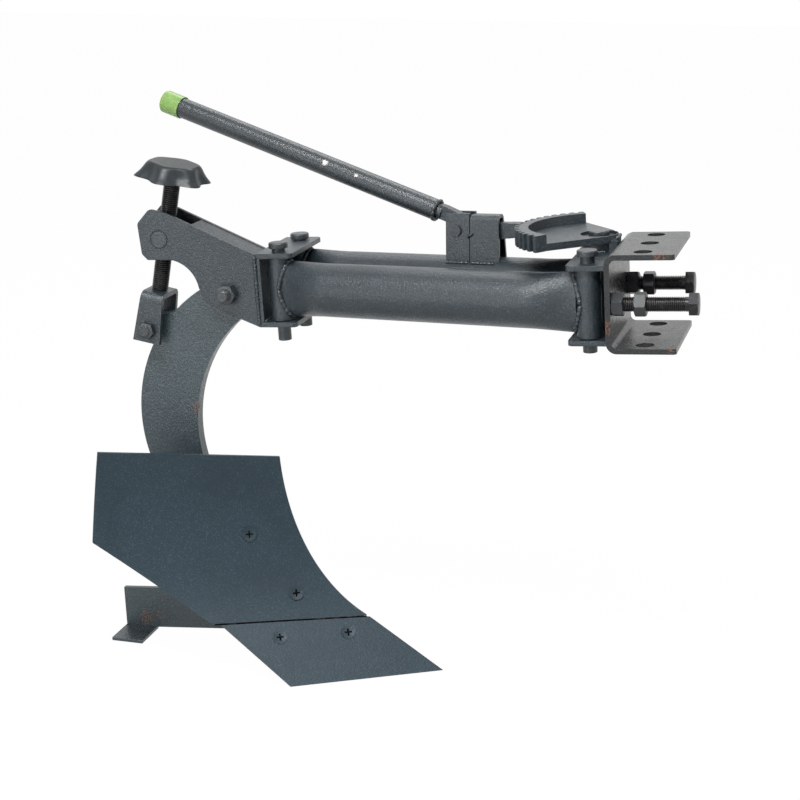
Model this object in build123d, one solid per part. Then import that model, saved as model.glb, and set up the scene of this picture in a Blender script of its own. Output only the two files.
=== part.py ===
from build123d import *
import os
from math import atan2, cos, degrees, hypot, pi, radians, sin, sqrt

# Single-furrow mouldboard plough with a side-swing hitch for a walking tractor.
# Millimetres. X forward, Y to the plough's left, Z up, standing as it parks on its share
# and heel. The origin is on the axis of the middle hitch hole, at the lower flange's underside.
#
# The hitch, beams and rear frame are drawn in a hitch frame, whose Z runs along the swing pins
# and whose origin lies midway between the front pins at the lower end of the sleeves.
# NOSE_UP tips that frame back on the standing plough.

NOSE_UP = 3.5
FLOOR_Z = -446.0

# Hitch channel
CHANNEL_W = 142.0
CHANNEL_T = 6.0
WEB_BACK_X = 22.5
FLANGE_TIP_X = 98.0
CHANNEL_BOTTOM_Z = -11.2
CHANNEL_TOP_Z = 97.0
BEND_R = 12.0
HOLE_X = 62.3
HOLE_R = 10.0
HOLE_PITCH = 52.0

# Adjusting bolts, M16, across the channel's web
ADJUSTER_Y = 57.0
ADJUSTER_Z = 41.0
ADJUSTER_R = 8.0
ADJUSTER_L = 80.0
ADJUSTER_HEAD_X = {"near": 121.5, "far": 104.0}
LOCKNUT_X = {"near": 53.0, "far": 46.5}
M16_FLATS = 24.0
M16_NUT_H = 13.0
M16_HEAD_H = 10.0

# Swing pins, sleeves and the plates that hold them
PIN_SPACING = 78.0
PIN_R = 8.0
PIN_HEAD_R = 11.5
PIN_HEAD_H = 7.0
SLEEVE_R = 14.0
SLEEVE_H = 76.0
RUNNING = 0.06
PLATE_T = 6.0
PLATE_GAP = 77.0
PLATE_HALF_W = 57.5
FRONT_PLATE_BACK_X = -22.0
FRONT_PIN_BOTTOM_Z = -16.5
REAR_PIN_BOTTOM_Z = -25.0
REAR_PLATE_AHEAD = 22.0
REAR_BACK_GAP = 18.0

# Beams: two equal tubes, swung so that their rear ends stand to the left
BEAM_L = 396.0
SWING = 12.6
TUBE_R = 31.5
TUBE_WALL = 3.5
TUBE_Z = 38.5
SQUASH_HALF_W = 13.0
SQUASH_HALF_H = 33.5
SQUASH_L = 75.0

# Toothed sector about the left front pin
HUB_R = 20.0
SECTOR_Z = 93.5
SECTOR_WEB_T = 8.0
RIM_TOP_Z = 112.0
RIM_IN_R = 79.0
SPOT_FACE_R = 21.0
SPOT_FACE_Z = 98.0
TOOTH_ROOT_R = 89.5
TOOTH_TIP_R = 94.5
SECTOR_FAR = -69.5
SECTOR_NEAR = 53.5
TOOTH_COUNT = 18
SEAT_GAP = 0.1

# Locking lever on the left beam, along the beam (S) and up (Z)
LEVER_PIN_S = 172.2
LEVER_PIN_Z = 102.0
LEVER_PIN_R = 4.0
LEVER_PIN_REACH = 12.9
BAR_TIP_S = TOOTH_TIP_R + 0.8
BAR_TIP_L = 14.0
BAR_TIP_HALF_W = 7.0
BAR_HALF_W = 5.5
BAR_PROFILE = ((BAR_TIP_S, 111.0), (118.0, 111.0), (156.0, 114.6), (172.0, 121.0), (190.0, 128.5),
               (204.0, 132.5), (204.0, 116.0), (190.0, 111.0), (181.0, 92.0), (121.0, 92.0),
               (BAR_TIP_S, 95.0))
NECK_R = 8.5
HANDLE_RISE = 19.1
HANDLE_START = (203.0, 123.2)
HANDLE_L = 395.0
HANDLE_R = 12.5
HANDLE_WALL = 2.5
CAP_L = 27.0
CAP_WALL = 1.6

# Guide and bracket of the lever: bent plate, narrower at the top than at the tube
SADDLE_T = 4.2
SADDLE_TOP_HALF_W = 10.0
SADDLE_FOOT_HALF_W = 17.0
SADDLE_FOOT_Z = TUBE_Z + 15.0
GUIDE_S = (118.0, 156.0)
GUIDE_SKEW = 5.0
GUIDE_TOP_Z = 120.0
BRACKET_S = (156.5, 187.0)
BRACKET_TOP_Z = 122.0

# Rear frame: two side plates about the shank, a little left of the right rear pin
SIDE_T = 5.0
SIDE_GAP = 35.0
SHANK_OFFSET = 35.4
COVER_T = 4.0
PIVOT = (-447.7, 35.7)
PIVOT_R = 7.0
PIVOT_FLATS = 22.0
PIVOT_NUT_H = 12.0
PIVOT_HEAD_H = 9.0
PIVOT_THREAD = 10.0
TRUNNION = (-531.0, 101.9)
TRUNNION_R = 11.0
TRUNNION_BARREL_R = 15.0

# Pitch screw: M20, with a lobed knob above and a fork below
SCREW_R = 10.0
FORK_EYE = (-555.7, -8.9)
FORK_HALF_W = 25.5
FORK_T = 6.0
FORK_TOP_ABOVE_EYE = 46.5
FORK_BELOW_EYE = 16.0
FORK_TOP_W = 28.0
FORK_BOTTOM_W = 35.0
FORK_BOLT_R = 6.0
KNOB_BOTTOM = 71.0
KNOB_H = 20.0
KNOB_R = 42.0
KNOB_LOBES = 6
KNOB_LOBE = 4.5
KNOB_WALL = 3.0

# Shank: a curved plate between two arcs, in the standing frame (X, Z)
SHANK_T = 16.0
SHANK_OUTER = (-450.5, -141.0, 187.0)
SHANK_INNER = (-384.0, -151.4, 178.0)
SHANK_OUTER_END_Z = -222.0
SHANK_INNER_END_Z = -205.0
SHANK_FOOT = ((-541.0, -404.0), (-480.0, -400.0))
SHANK_HEAD_R = 29.0
SHANK_BOSS_R = 18.0
EYE_BOSS_R = 14.0
EYE_DRIFT = 1.2

# Plough body. Share and mouldboard are drawn in a body frame at the share's point, whose X runs
# forward along the cutting edge and whose Y runs square to it, to the left.
POINT = (-245.6, 39.5)
EDGE_ANGLE = 30.3
SHARE_W = 192.0
SHARE_TOP = (56.4, 65.8)
SHARE_TOP_L = 267.0
SHARE_TOP_RIGHT_Z = 56.4
SHARE_SIDE_TURN = 1.9
SHARE_T = 6.0
BOARD_R = 336.2
BOARD_CENTRE = (-229.1, 243.6)
BOARD_T = 4.0
BOARD_SHIN = ((-84.0, 60.3), (-127.7, 102.5), (-154.9, 151.4), (-170.9, 201.7), (-180.0, 257.7))
BOARD_CORNERS = ((-400.5, 281.0), (-412.0, 170.0), (-276.5, 66.8))
FROG_T = 6.0
PLOUGH_BOLT_R = 5.0
PLOUGH_HEAD_R = 9.0
NUT_CLEAR = 7.0
BOARD_BOLTS = ((-221.7, 164.0), (-169.4, 91.6))
SHARE_BOLTS = ((-196.0, 48.2), (-111.0, 46.3))
LANDSIDE_T = 6.0
LANDSIDE_OUTLINE = ((-680.0, -391.0), (-678.0, -441.5), (-634.0, -441.5), (-395.0, -419.6),
                    (-385.0, -392.0), (-412.0, -367.7))
HEEL_X = (-678.0, -636.0)
HEEL_Y = 12.5
HEEL_T = 4.4

REAR_PIN_X = -BEAM_L * cos(radians(SWING))
REAR_MID_Y = BEAM_L * sin(radians(SWING))
SHANK_Y = REAR_MID_Y - SHANK_OFFSET

HITCH = Location((0, 0, 0), (0, -NOSE_UP, 0)) * Location((-HOLE_X, 0, -CHANNEL_BOTTOM_Z))
NEAR_BEAM = HITCH * Location((0, -PIN_SPACING / 2, 0), (0, 0, 180 - SWING))
FAR_BEAM = HITCH * Location((0, PIN_SPACING / 2, 0), (0, 0, 180 - SWING))
BODY = Location((POINT[0], POINT[1], FLOOR_Z), (0, 0, EDGE_ANGLE))
SCREW_LEAN = degrees(atan2(TRUNNION[0] - FORK_EYE[0], TRUNNION[1] - FORK_EYE[1]))
SCREW = HITCH * Location((TRUNNION[0], SHANK_Y, TRUNNION[1]), (0, SCREW_LEAN, 0))
EYE_BELOW = hypot(TRUNNION[0] - FORK_EYE[0], TRUNNION[1] - FORK_EYE[1])


def standing(x, z):
    """A point of the hitch frame's XZ plane, in the standing frame."""
    a = radians(NOSE_UP)
    x, z = x - HOLE_X, z - CHANNEL_BOTTOM_Z
    return x * cos(a) - z * sin(a), x * sin(a) + z * cos(a)


def rod(radius, start, direction, length):
    """A round bar from start along direction."""
    return Plane(origin=start, z_dir=direction) * Cylinder(
        radius, length, align=(Align.CENTER, Align.CENTER, Align.MIN))


def upright(radius, x, y, z0, z1):
    return rod(radius, (x, y, z0), (0, 0, 1), z1 - z0)


def hexagon(flats, start, direction, length):
    return extrude(Plane(origin=start, z_dir=direction) * RegularPolygon(flats / sqrt(3), 6), length)


def side_view(sketch, y0, y1):
    """Extrudes a sketch of X and Z points between two Y planes."""
    plane = Plane(origin=(0, y1, 0), x_dir=(1, 0, 0), z_dir=(0, -1, 0))
    return extrude(plane * sketch, y1 - y0)


def slab(x, y, z):
    """A box between pairs of limits."""
    size = [b - a for a, b in (x, y, z)]
    centre = [(a + b) / 2 for a, b in (x, y, z)]
    return Pos(*centre) * Box(*size)


def outline(*points):
    return make_face(Polyline(*points, close=True))


# Hitch

def hitch_channel():
    height = CHANNEL_TOP_Z - CHANNEL_BOTTOM_Z
    depth = FLANGE_TIP_X - WEB_BACK_X
    mid = (WEB_BACK_X + depth / 2, CHANNEL_BOTTOM_Z + height / 2)
    outer = Pos(*mid) * Rectangle(depth, height)
    inner = Pos(mid[0] + CHANNEL_T, mid[1]) * Rectangle(depth, height - 2 * CHANNEL_T)
    outer = fillet(outer.vertices().group_by(Axis.X)[0], BEND_R)
    inner = fillet(inner.vertices().group_by(Axis.X)[0], BEND_R - CHANNEL_T)
    channel = side_view(outer - inner, -CHANNEL_W / 2, CHANNEL_W / 2)
    corners = channel.edges().filter_by(Axis.Z).group_by(Axis.X)[-1]
    channel = chamfer(corners, 2.5)
    for row in (-1, 0, 1):
        channel -= upright(HOLE_R, HOLE_X, row * HOLE_PITCH, CHANNEL_BOTTOM_Z - 1, CHANNEL_TOP_Z + 1)
    for side in (-1, 1):
        channel -= rod(ADJUSTER_R + 0.5, (WEB_BACK_X - 1, side * ADJUSTER_Y, ADJUSTER_Z),
                       (1, 0, 0), CHANNEL_T + 2)
    return channel


def swing_plate(x0, x1, y_mid, z0, pin_x, bore=PIN_R + RUNNING):
    """A flat plate with two pin holes and rounded rear or front corners."""
    plate = slab((x0, x1), (y_mid - PLATE_HALF_W, y_mid + PLATE_HALF_W), (z0, z0 + PLATE_T))
    for side in (-1, 1):
        plate -= upright(bore, pin_x, y_mid + side * PIN_SPACING / 2, z0 - 1, z0 + PLATE_T + 1)
    return plate


def front_plate(z0):
    plate = swing_plate(FRONT_PLATE_BACK_X, WEB_BACK_X, 0, z0, 0)
    return fillet(plate.edges().filter_by(Axis.Z).group_by(Axis.X)[0], 6.0)


def sector():
    """Recessed fan with a raised toothed rim, its hub and the foot that ties it to the channel."""
    root_half, tip_half = 0.30, 0.22
    step = radians(SECTOR_NEAR - SECTOR_FAR) / (TOOTH_COUNT - 1 + 2 * root_half)
    teeth = []
    for i in range(TOOTH_COUNT):
        mid = pi + radians(SECTOR_FAR) + (i + root_half) * step
        for part, radius in ((-root_half, TOOTH_ROOT_R), (-tip_half, TOOTH_TIP_R),
                             (tip_half, TOOTH_TIP_R), (root_half, TOOTH_ROOT_R)):
            teeth.append((radius * cos(mid + part * step), radius * sin(mid + part * step)))
    rim = outline(*teeth, (0, 0)) - Circle(RIM_IN_R)
    fan_r = RIM_IN_R + 1
    fan_angles = [pi + radians(SECTOR_FAR + (SECTOR_NEAR - SECTOR_FAR) * i / 6) for i in range(7)]
    fan_points = [(fan_r * cos(a), fan_r * sin(a)) for a in fan_angles]
    fan = outline(*fan_points, (14, -HUB_R), (14, HUB_R))
    fan = fan & Circle(fan_r)
    fan += Circle(SPOT_FACE_R + 1)
    piece = extrude(Pos(0, 0, SECTOR_Z) * fan, SECTOR_WEB_T)
    piece += extrude(Pos(0, 0, SECTOR_Z) * rim, RIM_TOP_Z - SECTOR_Z)
    top_plate_z = PLATE_GAP + PLATE_T
    piece += upright(HUB_R, 0, 0, top_plate_z, SECTOR_Z + 1)
    piece += slab((0, WEB_BACK_X), (-15, 15), (top_plate_z, SPOT_FACE_Z))
    piece -= upright(SPOT_FACE_R, 0, 0, SPOT_FACE_Z, RIM_TOP_Z)
    piece -= upright(PIN_R + RUNNING, 0, 0, top_plate_z - 1, RIM_TOP_Z)
    return Pos(0, PIN_SPACING / 2, 0) * piece


def headed_pin(x, y, z0, head_z):
    """A plain pin with a turned head and a short neck under it."""
    pin = upright(PIN_R, x, y, z0, head_z)
    head = upright(PIN_HEAD_R, x, y, head_z, head_z + PIN_HEAD_H)
    return pin + chamfer(head.edges().group_by(Axis.Z)[-1], 1.2)


def front_pins():
    near = headed_pin(0, -PIN_SPACING / 2, FRONT_PIN_BOTTOM_Z, PLATE_GAP + PLATE_T + 7.6)
    far = headed_pin(0, PIN_SPACING / 2, FRONT_PIN_BOTTOM_Z, SPOT_FACE_Z + SEAT_GAP)
    return [near, far]


def adjuster_bolts():
    bolts = []
    for side, name in ((-1, "near"), (1, "far")):
        head = ADJUSTER_HEAD_X[name]
        y = side * ADJUSTER_Y
        bolt = rod(ADJUSTER_R, (head - M16_HEAD_H - ADJUSTER_L, y, ADJUSTER_Z), (1, 0, 0), ADJUSTER_L)
        bolts.append(bolt + hexagon(M16_FLATS, (head - M16_HEAD_H, y, ADJUSTER_Z), (1, 0, 0), M16_HEAD_H))
    return bolts


def adjuster_nuts():
    nuts = []
    for side, name in ((-1, "near"), (1, "far")):
        y = side * ADJUSTER_Y
        for x in (WEB_BACK_X + CHANNEL_T, LOCKNUT_X[name]):
            nut = hexagon(M16_FLATS, (x, y, ADJUSTER_Z), (1, 0, 0), M16_NUT_H)
            nuts.append(nut - rod(ADJUSTER_R + RUNNING, (x - 1, y, ADJUSTER_Z), (1, 0, 0), M16_NUT_H + 2))
    return nuts


# Beams, in their own frame: X from the front pin to the rear pin

def squashed(inset):
    """The tube's skin: round along the middle, squashed upright where it meets a sleeve."""
    front = SLEEVE_R - 4
    stations = ((front, SQUASH_HALF_W, SQUASH_HALF_H), (26.0, 17.0, SQUASH_HALF_H - 0.2),
                (50.0, 27.0, 32.0), (SQUASH_L, TUBE_R, TUBE_R))
    rings = [Plane(origin=(x, 0, TUBE_Z), x_dir=(0, 1, 0), z_dir=(1, 0, 0))
             * Ellipse(w - inset, h - inset) for x, w, h in stations]
    end = loft(rings)
    middle = rod(TUBE_R - inset, (SQUASH_L, 0, TUBE_Z), (1, 0, 0), BEAM_L - 2 * SQUASH_L)
    other = Pos(BEAM_L, 0, 0) * mirror(end, Plane.YZ)
    return end + middle + other


def beam_tube():
    tube = squashed(0) - squashed(TUBE_WALL)
    for x in (0, BEAM_L):
        tube -= upright(SLEEVE_R, x, 0, -1, PLATE_GAP + 1)
    return tube


def beam_sleeves():
    sleeves = []
    z0 = (PLATE_GAP - SLEEVE_H) / 2
    for x in (0, BEAM_L):
        sleeve = upright(SLEEVE_R, x, 0, z0, z0 + SLEEVE_H)
        sleeves.append(sleeve - upright(PIN_R + RUNNING, x, 0, 0, PLATE_GAP))
    return sleeves


def tube_solid():
    return rod(TUBE_R, (SQUASH_L, 0, TUBE_Z), (1, 0, 0), BEAM_L - 2 * SQUASH_L)


def saddle(inset, top_z, round_r):
    """Section across the beam of a bent plate's outside, or its inside when inset by the wall."""
    top, foot = SADDLE_TOP_HALF_W - inset, SADDLE_FOOT_HALF_W - inset
    shape = outline((-foot, SADDLE_FOOT_Z), (foot, SADDLE_FOOT_Z), (top, top_z), (-top, top_z))
    return fillet(shape.vertices().group_by(Axis.Y)[-1], round_r)


def across_beam(sketch, s0, s1):
    plane = Plane(origin=(s0, 0, 0), x_dir=(0, 1, 0), z_dir=(1, 0, 0))
    return extrude(plane * sketch, s1 - s0)


def lever_guide():
    """Bent strap over the lever bar, with its feet on the tube and its front cut a little askew."""
    strap = saddle(0, GUIDE_TOP_Z, 7.0) - saddle(SADDLE_T, GUIDE_TOP_Z - SADDLE_T, 1.0)
    piece = across_beam(strap, *GUIDE_S) - tube_solid()
    s0, half = GUIDE_S[0], SADDLE_FOOT_HALF_W + 1
    skew = outline((s0 - 1, half), (s0, half), (s0 + GUIDE_SKEW, -half), (s0 - 1, -half))
    return piece - extrude(Pos(0, 0, TUBE_Z) * skew, 100)


def lever_bracket():
    """Two cheeks on top of the tube that carry the lever's pin, with the lever between them."""
    cheeks = saddle(0, BRACKET_TOP_Z, 1.0) - outline(
        *[(side * (half - SADDLE_T), z) for side, half, z in (
            (-1, SADDLE_FOOT_HALF_W, SADDLE_FOOT_Z), (1, SADDLE_FOOT_HALF_W, SADDLE_FOOT_Z),
            (1, SADDLE_TOP_HALF_W, BRACKET_TOP_Z), (-1, SADDLE_TOP_HALF_W, BRACKET_TOP_Z))])
    piece = across_beam(cheeks, *BRACKET_S) - tube_solid()
    return piece - lever_pin_hole()


def lever_pin_hole():
    return rod(LEVER_PIN_R + RUNNING, (LEVER_PIN_S, -20, LEVER_PIN_Z), (0, 1, 0), 40)


def lever_pin():
    """Rivet with a low round head on each side."""
    reach = LEVER_PIN_REACH
    at = (LEVER_PIN_S, -reach, LEVER_PIN_Z)
    pin = rod(LEVER_PIN_R, at, (0, 1, 0), 2 * reach)
    pin += rod(LEVER_PIN_R + 2, at, (0, -1, 0), 2.5)
    return pin + rod(LEVER_PIN_R + 2, (LEVER_PIN_S, reach, LEVER_PIN_Z), (0, 1, 0), 2.5)


def handle_frame():
    """Origin at the handle tube's lower end, Z along the tube."""
    rise = radians(HANDLE_RISE)
    return Plane(origin=(HANDLE_START[0], 0, HANDLE_START[1]), x_dir=(0, 1, 0),
                 z_dir=(cos(rise), 0, sin(rise)))


def lever_bar():
    """Locking bar with a wider tip, cranked up behind its pin, and the neck that enters the handle."""
    shape = outline(*BAR_PROFILE)
    bar = side_view(shape, -BAR_HALF_W, BAR_HALF_W)
    tip = side_view(shape, -BAR_TIP_HALF_W, BAR_TIP_HALF_W)
    bar += tip & slab((0, BAR_TIP_S + BAR_TIP_L), (-20, 20), (0, 200))
    neck = handle_frame() * Pos(0, 0, -8) * Cylinder(
        NECK_R, 28, align=(Align.CENTER, Align.CENTER, Align.MIN))
    return bar - lever_pin_hole() + neck


def handle_tube():
    frame = handle_frame()
    skin = Cylinder(HANDLE_R, HANDLE_L, align=(Align.CENTER, Align.CENTER, Align.MIN))
    bore = Pos(0, 0, -1) * Cylinder(HANDLE_R - HANDLE_WALL, HANDLE_L + 2,
                                    align=(Align.CENTER, Align.CENTER, Align.MIN))
    return frame * (skin - bore) - lever_bar()


def handle_cap():
    frame = handle_frame()
    cap = Pos(0, 0, HANDLE_L - CAP_L + 3) * Cylinder(
        HANDLE_R + CAP_WALL, CAP_L, align=(Align.CENTER, Align.CENTER, Align.MIN))
    cap = fillet(cap.edges().group_by(Axis.Z)[-1], 2.0)
    bore = Pos(0, 0, HANDLE_L - CAP_L - 1) * Cylinder(
        HANDLE_R, CAP_L + 1, align=(Align.CENTER, Align.CENTER, Align.MIN))
    return frame * (cap - bore)


# Rear frame, in the hitch frame

def rear_back_plate():
    x1 = REAR_PIN_X - REAR_BACK_GAP
    return slab((x1 - PLATE_T, x1), (REAR_MID_Y - PLATE_HALF_W, REAR_MID_Y + PLATE_HALF_W),
                (0, PLATE_GAP))


def rear_plate(z0):
    x0 = REAR_PIN_X - REAR_BACK_GAP - PLATE_T
    plate = swing_plate(x0, REAR_PIN_X + REAR_PLATE_AHEAD, REAR_MID_Y, z0, REAR_PIN_X)
    return fillet(plate.edges().filter_by(Axis.Z).group_by(Axis.X)[-1], 6.0)


def rear_pins():
    plate_top = PLATE_GAP + PLATE_T
    return [headed_pin(REAR_PIN_X, REAR_MID_Y + side * PIN_SPACING / 2, REAR_PIN_BOTTOM_Z, plate_top + up)
            for side, up in ((-1, 4.0), (1, 1.2))]


def side_plate_shape():
    """Side view of a rear side plate: head about the trunnion, throat arc and pivot lobe."""
    back = REAR_PIN_X - REAR_BACK_GAP - PLATE_T
    with BuildSketch() as sketch:
        with BuildLine():
            head = Polyline((back, 82.0), (-520.0, 133.5), (-540.5, 138.6), (-557.5, 121.3),
                            (-555.0, 84.0), (-548.0, 76.7), (-518.0, 76.5))
            throat = ThreePointArc(head @ 1, (-499.5, 68.0), (-485.0, 42.0))
            Polyline(throat @ 1, (-475.5, 22.5), (-433.0, 3.5), (back, -6.0), (back, 82.0))
        make_face()
        corners = sketch.vertices().filter_by_position(Axis.X, -560, -515)
        fillet(corners.filter_by_position(Axis.Y, 77, 140), 7.0)
    return sketch.sketch


def side_plate(side):
    y_in = SHANK_Y + side * SIDE_GAP / 2
    y_out = y_in + side * SIDE_T
    plate = side_view(side_plate_shape(), min(y_in, y_out), max(y_in, y_out))
    for (x, z), radius in ((PIVOT, PIVOT_R), (TRUNNION, TRUNNION_R)):
        plate -= rod(radius + RUNNING, (x, SHANK_Y - 40, z), (0, 1, 0), 80)
    return plate


def cover_plate():
    """Plate between the side plates, just under their sloping top edges."""
    back = REAR_PIN_X - REAR_BACK_GAP - PLATE_T
    slope = (133.5 - 82.0) / (-520.0 - back)
    drop = 1.0
    x0 = -490.5
    z0, z1 = 82.0 + slope * (x0 - back) - drop, 82.0 - drop
    shape = outline((x0, z0), (back, z1), (back, z1 - COVER_T), (x0, z0 - COVER_T))
    return side_view(shape, SHANK_Y - SIDE_GAP / 2, SHANK_Y + SIDE_GAP / 2)


def pivot_bolt():
    """M14 bolt with its nut on the right side."""
    out = SIDE_GAP / 2 + SIDE_T
    x, z = PIVOT
    past = PIVOT_NUT_H + PIVOT_THREAD
    bolt = rod(PIVOT_R, (x, SHANK_Y - out - past, z), (0, 1, 0), 2 * out + past)
    for side, height in ((-1, PIVOT_NUT_H), (1, PIVOT_HEAD_H)):
        bolt += hexagon(PIVOT_FLATS, (x, SHANK_Y + side * out, z), (0, side, 0), height)
    return bolt


def trunnion():
    """Cross barrel that the screw passes through, its journals in the side plates."""
    x, z = TRUNNION
    half = SIDE_GAP / 2 - 0.4
    out = SIDE_GAP / 2 + SIDE_T
    piece = rod(TRUNNION_BARREL_R, (x, SHANK_Y - half, z), (0, 1, 0), 2 * half)
    piece += rod(TRUNNION_R, (x, SHANK_Y - out, z), (0, 1, 0), 2 * out)
    lean = radians(SCREW_LEAN)
    axis = (sin(lean), 0, cos(lean))
    return piece - rod(SCREW_R + RUNNING, (x - 40 * axis[0], SHANK_Y, z - 40 * axis[2]), axis, 80)


# Pitch screw, in its own frame: Z up the screw, origin at the trunnion's centre

def adjusting_screw():
    bottom = -EYE_BELOW + FORK_TOP_ABOVE_EYE
    screw = upright(SCREW_R, 0, 0, bottom, KNOB_BOTTOM + KNOB_H - 6)
    return screw + upright(5.0, 0, 0, bottom - FORK_T - 2.5, bottom) + upright(
        8.0, 0, 0, bottom - FORK_T - 4, bottom - FORK_T - 0.05)


def knob_ring(z, radius, lobe):
    points = []
    count = 8 * KNOB_LOBES
    for i in range(count):
        a = 2 * pi * i / count
        r = radius - lobe * cos(KNOB_LOBES * a)
        points.append((r * cos(a), r * sin(a)))
    return Pos(0, 0, z) * make_face(Spline(*points, periodic=True))


def knob_bell(inset):
    """Flared lobed bell. The inset copy is the hollow under it."""
    profile = ((0.0, KNOB_R, KNOB_LOBE), (4.0, KNOB_R - 3.0, KNOB_LOBE - 0.6),
               (11.0, KNOB_R - 7.5, KNOB_LOBE - 1.8), (16.5, KNOB_R - 10.0, KNOB_LOBE - 2.8),
               (KNOB_H, KNOB_R - 13.5, KNOB_LOBE - 3.6))
    rings = [knob_ring(z - inset, r - inset, lobe) for z, r, lobe in profile]
    return loft(rings)


def screw_knob():
    knob = knob_bell(0) - knob_bell(KNOB_WALL)
    boss = upright(16.0, 0, 0, KNOB_H - 16, KNOB_H - KNOB_WALL + 0.5)
    knob = Pos(0, 0, KNOB_BOTTOM) * (knob + boss)
    return knob - upright(SCREW_R + RUNNING, 0, 0, 0, KNOB_BOTTOM + KNOB_H - 6 + RUNNING)


def screw_fork():
    """Bent strap under the screw, its two cheeks either side of the shank's eye."""
    top = -EYE_BELOW + FORK_TOP_ABOVE_EYE
    bottom = -EYE_BELOW - FORK_BELOW_EYE
    strap = Pos(0, (top + bottom) / 2) * Rectangle(2 * FORK_HALF_W, top - bottom)
    strap = fillet(strap.vertices().group_by(Axis.Y)[-1], 9.0)
    hole = Pos(0, (top + bottom) / 2 - FORK_T) * Rectangle(2 * (FORK_HALF_W - FORK_T), top - bottom)
    hole = fillet(hole.vertices().group_by(Axis.Y)[-1], 3.0)
    half = FORK_BOTTOM_W / 2
    plane = Plane(origin=(-half, 0, 0), x_dir=(0, 1, 0), z_dir=(1, 0, 0))
    fork = extrude(plane * (strap - hole), FORK_BOTTOM_W)
    face = outline((-FORK_TOP_W / 2, top), (FORK_TOP_W / 2, top), (half, bottom), (-half, bottom))
    fork &= side_view(face, -FORK_HALF_W, FORK_HALF_W)
    fork -= rod(FORK_BOLT_R + RUNNING, (0, -40, -EYE_BELOW), (0, 1, 0), 80)
    return fork - upright(5.0 + RUNNING, 0, 0, top - FORK_T - 1, top + 1)


def fork_bolt():
    start = (0, -FORK_HALF_W, -EYE_BELOW)
    bolt = rod(FORK_BOLT_R, start, (0, 1, 0), 2 * FORK_HALF_W + 14)
    bolt += hexagon(19.0, start, (0, -1, 0), 7.5)
    return bolt + hexagon(19.0, (0, FORK_HALF_W, -EYE_BELOW), (0, 1, 0), 10.0)


# Plough body, in the standing frame

def shank():
    """Curved plate that hangs from the pivot bolt, with bosses at the pivot and the eye."""
    px, pz = standing(*PIVOT)
    ex, ez = standing(*FORK_EYE)
    ox, oz, o_r = SHANK_OUTER
    ix, iz, i_r = SHANK_INNER
    outer_end = (ox - sqrt(o_r ** 2 - (SHANK_OUTER_END_Z - oz) ** 2), SHANK_OUTER_END_Z)
    inner_end = (ix - sqrt(i_r ** 2 - (SHANK_INNER_END_Z - iz) ** 2), SHANK_INNER_END_Z)
    outer_top = (px - 12.0, oz + sqrt(o_r ** 2 - (px - 12.0 - ox) ** 2))
    inner_top_x = px + 14.0
    inner_top = (inner_top_x, iz + sqrt(i_r ** 2 - (inner_top_x - ix) ** 2))
    heel, toe = SHANK_FOOT
    with BuildSketch() as sketch:
        with BuildLine():
            outer = ThreePointArc(outer_end, (ox - o_r, oz), outer_top)
            cap = ThreePointArc(outer_top, (px + SHANK_HEAD_R * 0.8, pz + SHANK_HEAD_R * 0.25), inner_top)
            inner = ThreePointArc(inner_top, (ix - i_r, iz), inner_end)
            Polyline(inner_end, toe, heel, outer_end)
        make_face()
        fillet(sketch.vertices().filter_by_position(Axis.Y, -410, -395), 8.0)
        with Locations((ex, ez)):
            Circle(EYE_BOSS_R)
        Polygon((ex, ez + EYE_BOSS_R), (ex + 45, ez + 25), (ex + 45, ez - 45), (ex - 4, ez - 13.4),
                align=None)
    half = SHANK_T / 2
    piece = side_view(sketch.sketch, SHANK_Y - half, SHANK_Y + half)
    boss_half = SIDE_GAP / 2 - 0.5
    piece += rod(SHANK_BOSS_R, (px, SHANK_Y - boss_half, pz), (0, 1, 0), 2 * boss_half)
    eye_half = FORK_HALF_W - FORK_T - 0.5
    piece += rod(EYE_BOSS_R - 1, (ex, SHANK_Y - eye_half, ez), (0, 1, 0), 2 * eye_half)
    piece -= rod(PIVOT_R + RUNNING, (px, SHANK_Y - 40, pz), (0, 1, 0), 80)
    piece -= rod(FORK_BOLT_R + EYE_DRIFT, (ex, SHANK_Y - 40, ez), (0, 1, 0), 80)
    for x, z in landside_bolt_centres():
        piece -= rod(PLOUGH_BOLT_R + RUNNING, (x, SHANK_Y - 40, z), (0, 1, 0), 80)
    return piece


def landside_bolt_centres():
    (x0, z0), (x1, z1) = SHANK_FOOT
    return [(x0 + 16, z0 + 12), (x1 - 18, z1 + 14)]


def share():
    """Flat blade with its back ground to the floor, cut off in the plane of the shin."""
    y, z = SHARE_TOP
    run = hypot(y, z)
    back = (SHARE_T * z / run, -SHARE_T * y / run)
    floor_y = back[0] - back[1] * y / z
    section = outline((0, 0), (y, z), (y + back[0], z + back[1]), (floor_y, 0))
    plane = Plane(origin=(0, 0, 0), x_dir=(0, 1, 0), z_dir=(1, 0, 0))
    blade = extrude(plane * section, -SHARE_TOP_L - 10)
    blade &= side_view(outline((0, 0), (0, SHARE_TOP_RIGHT_Z), (-SHARE_TOP_L, z), (-SHARE_W, 0)), -10, 90)
    for x, bolt_z in SHARE_BOLTS:
        blade -= share_bolt(x, bolt_z, RUNNING)
    side = Location((POINT[0], POINT[1], FLOOR_Z), (0, 0, -SHARE_SIDE_TURN))
    return (BODY * blade) & (side * slab((-500, 50), (-300, 0), (-10, 200)))


def board_band(r0, r1, z0, z1, x0, x1):
    """A band of the mouldboard's cylinder between two radii, two heights and two edge stations."""
    ring = Pos(*BOARD_CENTRE) * (Circle(r1) - Circle(r0))
    ring &= Pos(200, (z0 + z1) / 2) * Rectangle(400, z1 - z0)
    plane = Plane(origin=(x1, 0, 0), x_dir=(0, 1, 0), z_dir=(1, 0, 0))
    return extrude(plane * ring, x0 - x1)


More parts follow.
